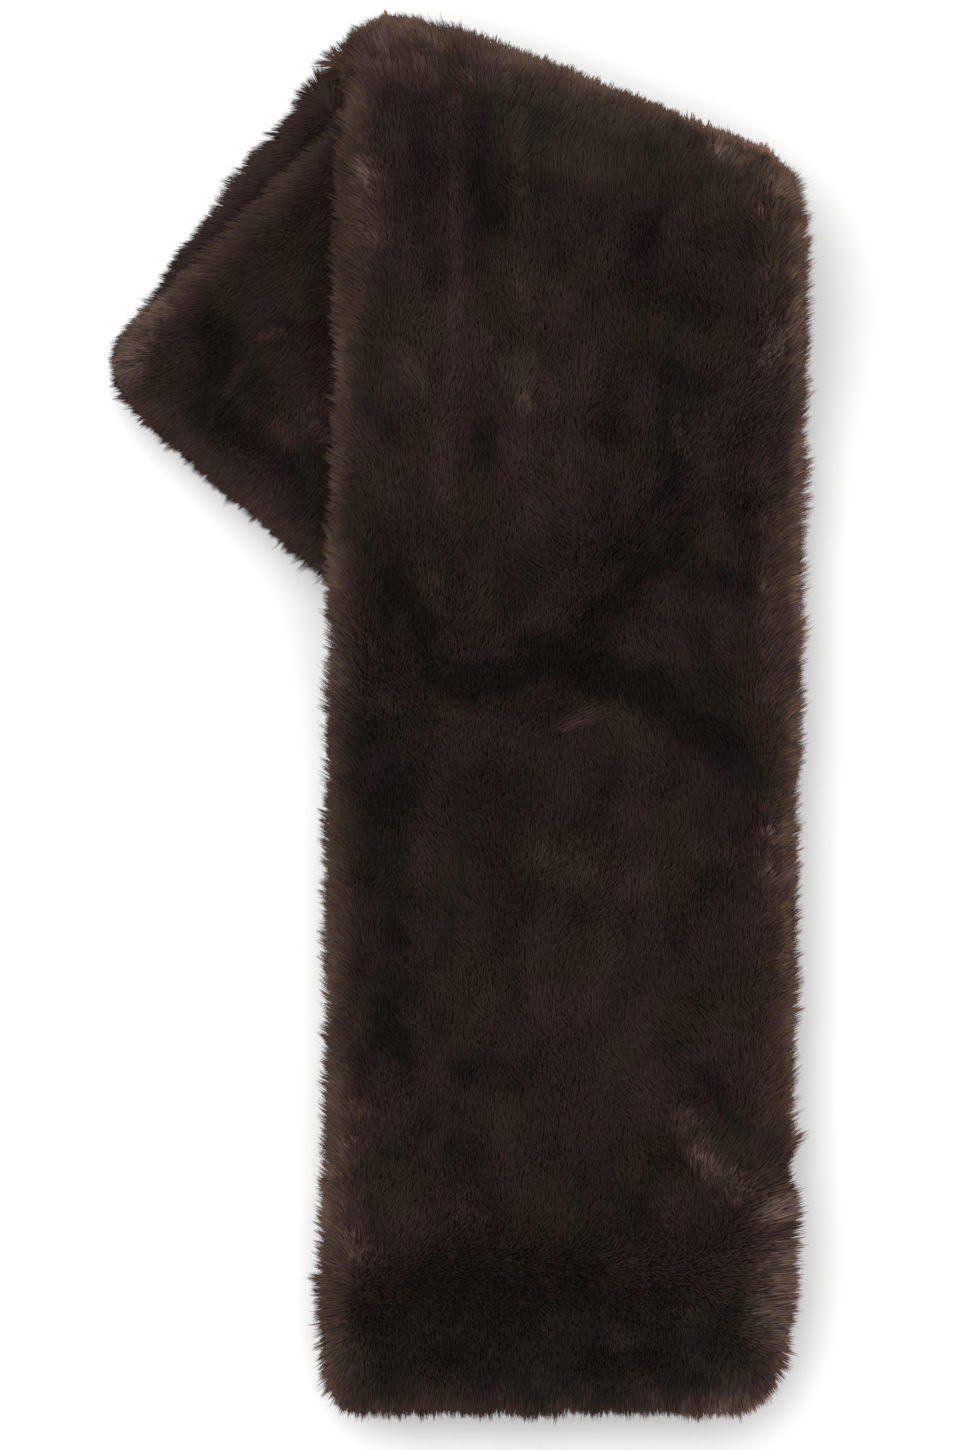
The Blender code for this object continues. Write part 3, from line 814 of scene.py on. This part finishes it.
def brush(place, coat, seed):
    """Which way the hair lies, in plan; the longer, the further over."""
    angle = np.radians(coat.nap_angle) + sways(NAP_SWAY, place, seed) + sways(NAP_CURL, place, seed)
    way = level_way(angle)
    if coat.node == FRONT:
        for row in BRUSHED:
            here = near(place, row, BRUSHED_FADE)[:, None]
            way += (row.lean * level_way(np.radians(row.angle)) - way) * here
        from_whorl = place[:, :2] - WHORL
        distance = np.linalg.norm(from_whorl, axis=1)
        here = eased(WHORL_FADE - WHORL_FALL * distance / WHORL_REACH)[:, None]
        round_whorl = np.arctan2(from_whorl[:, 1], from_whorl[:, 0]) + math.pi / 2
        way += (WHORL_LEAN * level_way(round_whorl) - way) * here
    return way


def along_surface(way, normal, downwards):
    """A level way laid along the surface: what points out of the outline follows the surface down, or up on
    the lower side, and the rest runs on along it."""
    level = np.linalg.norm(normal[:, :2], axis=1, keepdims=True)
    out = np.where(level > LEVEL, np.hstack([normal[:, :2], 0 * level]) / np.maximum(level, 1e-6), 0.0)
    outwards = dot(way, out)
    return way - outwards * out + outwards * (out * normal[:, 2:] - UP * level) * downwards


def lie_of(spots, edge, fan, coat, seed):
    """The way that each hair lies along the surface."""
    way = brush(spots.place, coat, seed)
    against = np.maximum(-dot(way, spots.way_out), 0.0)
    way = way * (1.0 - FAN_NAP_LOST * fan) + spots.way_out * (FAN_OUT + FAN_AGAINST * against) * fan
    way = way - spots.way_out * dot(way, spots.way_out) * EDGE_UPRIGHT * edge[:, None]
    underneath = (spots.edge_distance < RIM) & (spots.normal[:, 2] < 0)
    return along_surface(way, spots.normal, np.where(underneath, -1.0, 1.0)[:, None])


def drawn_together(tip, lock, heads, spots, edge, coat, rng):
    """The tips drawn towards the heads of their locks, and longer or shorter at the outline."""
    draw = rng.uniform(0.0, LOCK_DRAW, len(heads))[lock] + EDGE_DRAW * edge
    longer = rng.normal(*EDGE_LONGER, len(heads))[lock] * edge
    for row in TRIMMED[coat.node]:
        longer += row.longer / 1000 * near(spots.place, row, TRIMMED_FADE) * edge
    return tip + (heads[lock] - tip) * draw[:, None] + spots.way_out * longer[:, None]


def shaded(spots, edge, lighter, olive, lock, locks, coat, seed, rng):
    """The shade of each hair, with the painted highlight at its edges and the painted shade and highlight
    of its marks, and its tint: plum or olive, warm or russet at the edges.
    """
    count = len(lock)
    place = spots.place * ALONG
    shade = SHADE + sways(SHADE_CLOUDS, place, seed) + sways(SHADE_BLOTCHES, place, seed)
    # painted highlight: hair within a band of the outline is made lighter, as where the hair's side catches
    # the light
    band = np.interp(spots.place[:, 0], EDGE_BAND_X, EDGE_BAND)
    shade += coat.edge_light * eased(EDGE_BAND_FADE - spots.away / band)
    # the marks' painted shade and highlight, the lighter ones taken unevenly lock by lock
    shade += np.where(lighter > 0, lighter * rng.uniform(*LOCK_LIGHT, locks)[lock], lighter)

    by_shade = OLIVE_BY_SHADE * (OLIVE_SHADE - shade)
    olive = olive + (sways(OLIVE_SWAY, place, seed) + by_shade + rng.normal(0, OLIVE_SPREAD, count))
    tint = np.where(olive < 0.0, PLUM, OLIVE)
    warm = coat.warmth * eased(WARM_FADE - spots.away / WARM_REACH)
    tint = np.where(rng.uniform(size=count) < warm, WARM, tint)
    at_right = np.where(spots.place[:, 0] > RUSSET_X, RUSSET_SHARE, 0.0)
    russet = coat.warmth * eased(1.0 - spots.away / RUSSET_REACH) * at_right
    tint = np.where(rng.uniform(size=count) < russet, RUSSET, tint)

    uneven = UNEVEN + EDGE_UNEVEN * edge + MARK_UNEVEN * np.maximum(lighter, 0.0)
    shade += rng.normal(0, LOCK_UNEVEN, locks)[lock] + rng.normal(0, 1, count) * uneven
    return np.clip(shade, *SHADE_LIMITS), tint


def grow(coat, surface, trees, seed):
    """The hairs of one stretch."""
    rng = np.random.default_rng(seed)
    count = coat.hairs
    triangle, share, hair_area = sample(surface, openness(surface, trees), count, rng)
    spots = read_spots(surface, triangle, share)
    root, pile = spots.place - spots.pile, spots.pile
    edge = eased(1.0 - spots.away / EDGE_LOCKS)
    fan = eased(1.0 - spots.away / FAN_REACH)[:, None]

    lie = lie_of(spots, edge, fan, coat, seed)
    lean = LEAN * (1.0 + sways(LEAN_SWAY, spots.place, seed) + rng.normal(0, LEAN_SPREAD, count))
    lean = lean * (1.0 + FAN_LEAN * fan[:, 0])
    shown = spots.place + lie * lean[:, None] * SHOWN_AT
    lighter, olive = marked(MARKS[coat.node], shown)
    lighter *= 1.0 + sways(MARK_SWAY, spots.place, seed)
    reach = REACH + sways(REACH_SWAY, spots.place, seed) + rng.normal(0, REACH_SPREAD, count)
    reach += MARK_REACH * np.clip(lighter, *MARK_REACH_LIMITS) * (1.0 - edge)
    tip = root + pile * reach[:, None] + lie * lean[:, None] + rng.normal(0, RUFFLE, (count, 3))

    heads = tip[rng.choice(count, int(count * hair_area / LOCK**2), replace=False)]
    lock = nearest(heads, tip)
    tip = drawn_together(tip, lock, heads, spots, edge, coat, rng)
    share = (MIDDLE - MIDDLE_LOWER * edge)[:, None]
    middle = root + pile * share + (tip - root - pile) * share**2
    for points in (middle, tip):
        points[:, 2] = np.maximum(points[:, 2], FLOOR_CLEAR)

    shade, tint = shaded(spots, edge, lighter, olive, lock, len(heads), coat, seed, rng)
    width = HAIR_WIDTH + (EDGE_HAIR_WIDTH - HAIR_WIDTH) * edge
    return Hairs(root, middle, tip, spots.normal, width, shade, tint)


def make_hairs(name, hairs, material, seed):
    """Hairs as one mesh: each is a thin blade of a four-cornered and a three-cornered face."""
    root, middle, tip, normal, width, shade, tint = hairs
    rng = np.random.default_rng(seed)
    count = len(root)
    along = unit(tip - root)
    side = unit(np.cross(along, normal) + rng.normal(0, BLADE_TURN, (count, 3)))
    side = unit(side - along * dot(side, along)) * width[:, None] / 2
    soft = unit(normal * SOFTNESS + unit(np.cross(side, along)) * (1.0 - SOFTNESS))
    points = np.stack([root - side, root + side, middle - side, middle + side, tip], axis=1)
    corners = points.shape[1]
    corner = np.array(((0, 1, 3), (0, 3, 2), (2, 3, 4)))
    triangles = (np.arange(count)[:, None, None] * corners + corner).reshape(-1, 3)
    mesh = new_mesh(name, points.reshape(-1, 3), triangles)

    low, high = (tint + TINT_MARGIN) / TINTS, (tint + 1 - TINT_MARGIN) / TINTS
    centre = low + (high - low) * TINT_MIDDLE
    darker, lighter = shade - SHADE_ACROSS, shade + SHADE_ACROSS
    u = np.stack([darker, lighter, darker, lighter, shade], axis=1)
    v = np.stack([low, low, centre, centre, high], axis=1)
    layer = mesh.uv_layers.new(name=HAIR_COLOURS)
    colours = np.stack([u, v], axis=2)[:, corner.ravel()]
    layer.data.foreach_set("uv", colours.reshape(-1).astype(np.float32))
    mesh.shade_smooth()
    mesh.normals_split_custom_set_from_vertices(np.repeat(soft, corners, axis=0))
    return new_piece(name, mesh, material)


def make_scarf():
    """The pelt and the pile of each stretch."""
    ground, hair = pelt_material(), pile_material()
    surfaces = {coat.node: read_surface(coat.node, finer=True) for coat in COATS}
    trees = [BVHTree.FromPolygons(s.points.tolist(), s.triangles.tolist()) for s in surfaces.values()]
    for number, coat in enumerate(COATS):
        seed = 100 * (number + 1)
        pelt = make_pelt(coat.node.replace("stretch", "pelt"), read_surface(coat.node, finer=False), ground)
        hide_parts(coat.node)
        hairs = grow(coat, surfaces[coat.node], trees, seed)
        order = np.argsort(hairs.root[:, 1])
        for part, chosen in enumerate(np.array_split(order, coat.parts)):
            name = f"{coat.node.replace('stretch', 'pile')}_{part + 1}"
            make_hairs(name, Hairs(*(v[chosen] for v in hairs)), hair, seed + part)


def make_floor():
    """A floor that ends far outside what the camera sees."""
    bpy.ops.mesh.primitive_plane_add(size=FLOOR_SIZE)
    floor = bpy.context.object
    floor.name = "floor"
    floor.data.materials.append(floor_material())


def make_light(name, place, size, power):
    """A square light that points at the middle of the scarf."""
    lamp = bpy.data.lights.new(name, "AREA")
    lamp.shape = "SQUARE"
    lamp.size = size
    lamp.energy = power
    piece = bpy.data.objects.new(name, lamp)
    piece.location = place
    piece.rotation_euler = Vector(place).to_track_quat("Z", "Y").to_euler()
    piece.visible_camera = False
    bpy.context.scene.collection.objects.link(piece)


def make_camera():
    """A camera that looks straight down."""
    lens = bpy.data.cameras.new("camera")
    lens.lens = LENS
    lens.sensor_width = SENSOR
    lens.clip_end = CLIP_END
    away = IMAGE_HEIGHT * PIXEL * LENS / SENSOR
    camera = bpy.data.objects.new("camera", lens)
    camera.location = (*IMAGE_CENTRE, PIXEL_Z + away)
    bpy.context.scene.collection.objects.link(camera)
    bpy.context.scene.camera = camera


def make_studio():
    """A pale floor, a broad soft light from above, white light from all round, and the camera."""
    make_floor()
    make_light("soft_box", BOX_PLACE, BOX_SIZE, BOX_POWER)
    world = bpy.data.worlds.new("studio")
    world.use_nodes = True
    background = world.node_tree.nodes["Background"]
    background.inputs["Color"].default_value = (1.0, 1.0, 1.0, 1.0)
    background.inputs["Strength"].default_value = SURROUND
    bpy.context.scene.world = world
    bpy.context.scene.view_settings.view_transform = "Standard"
    make_camera()


make_scarf()
make_studio()
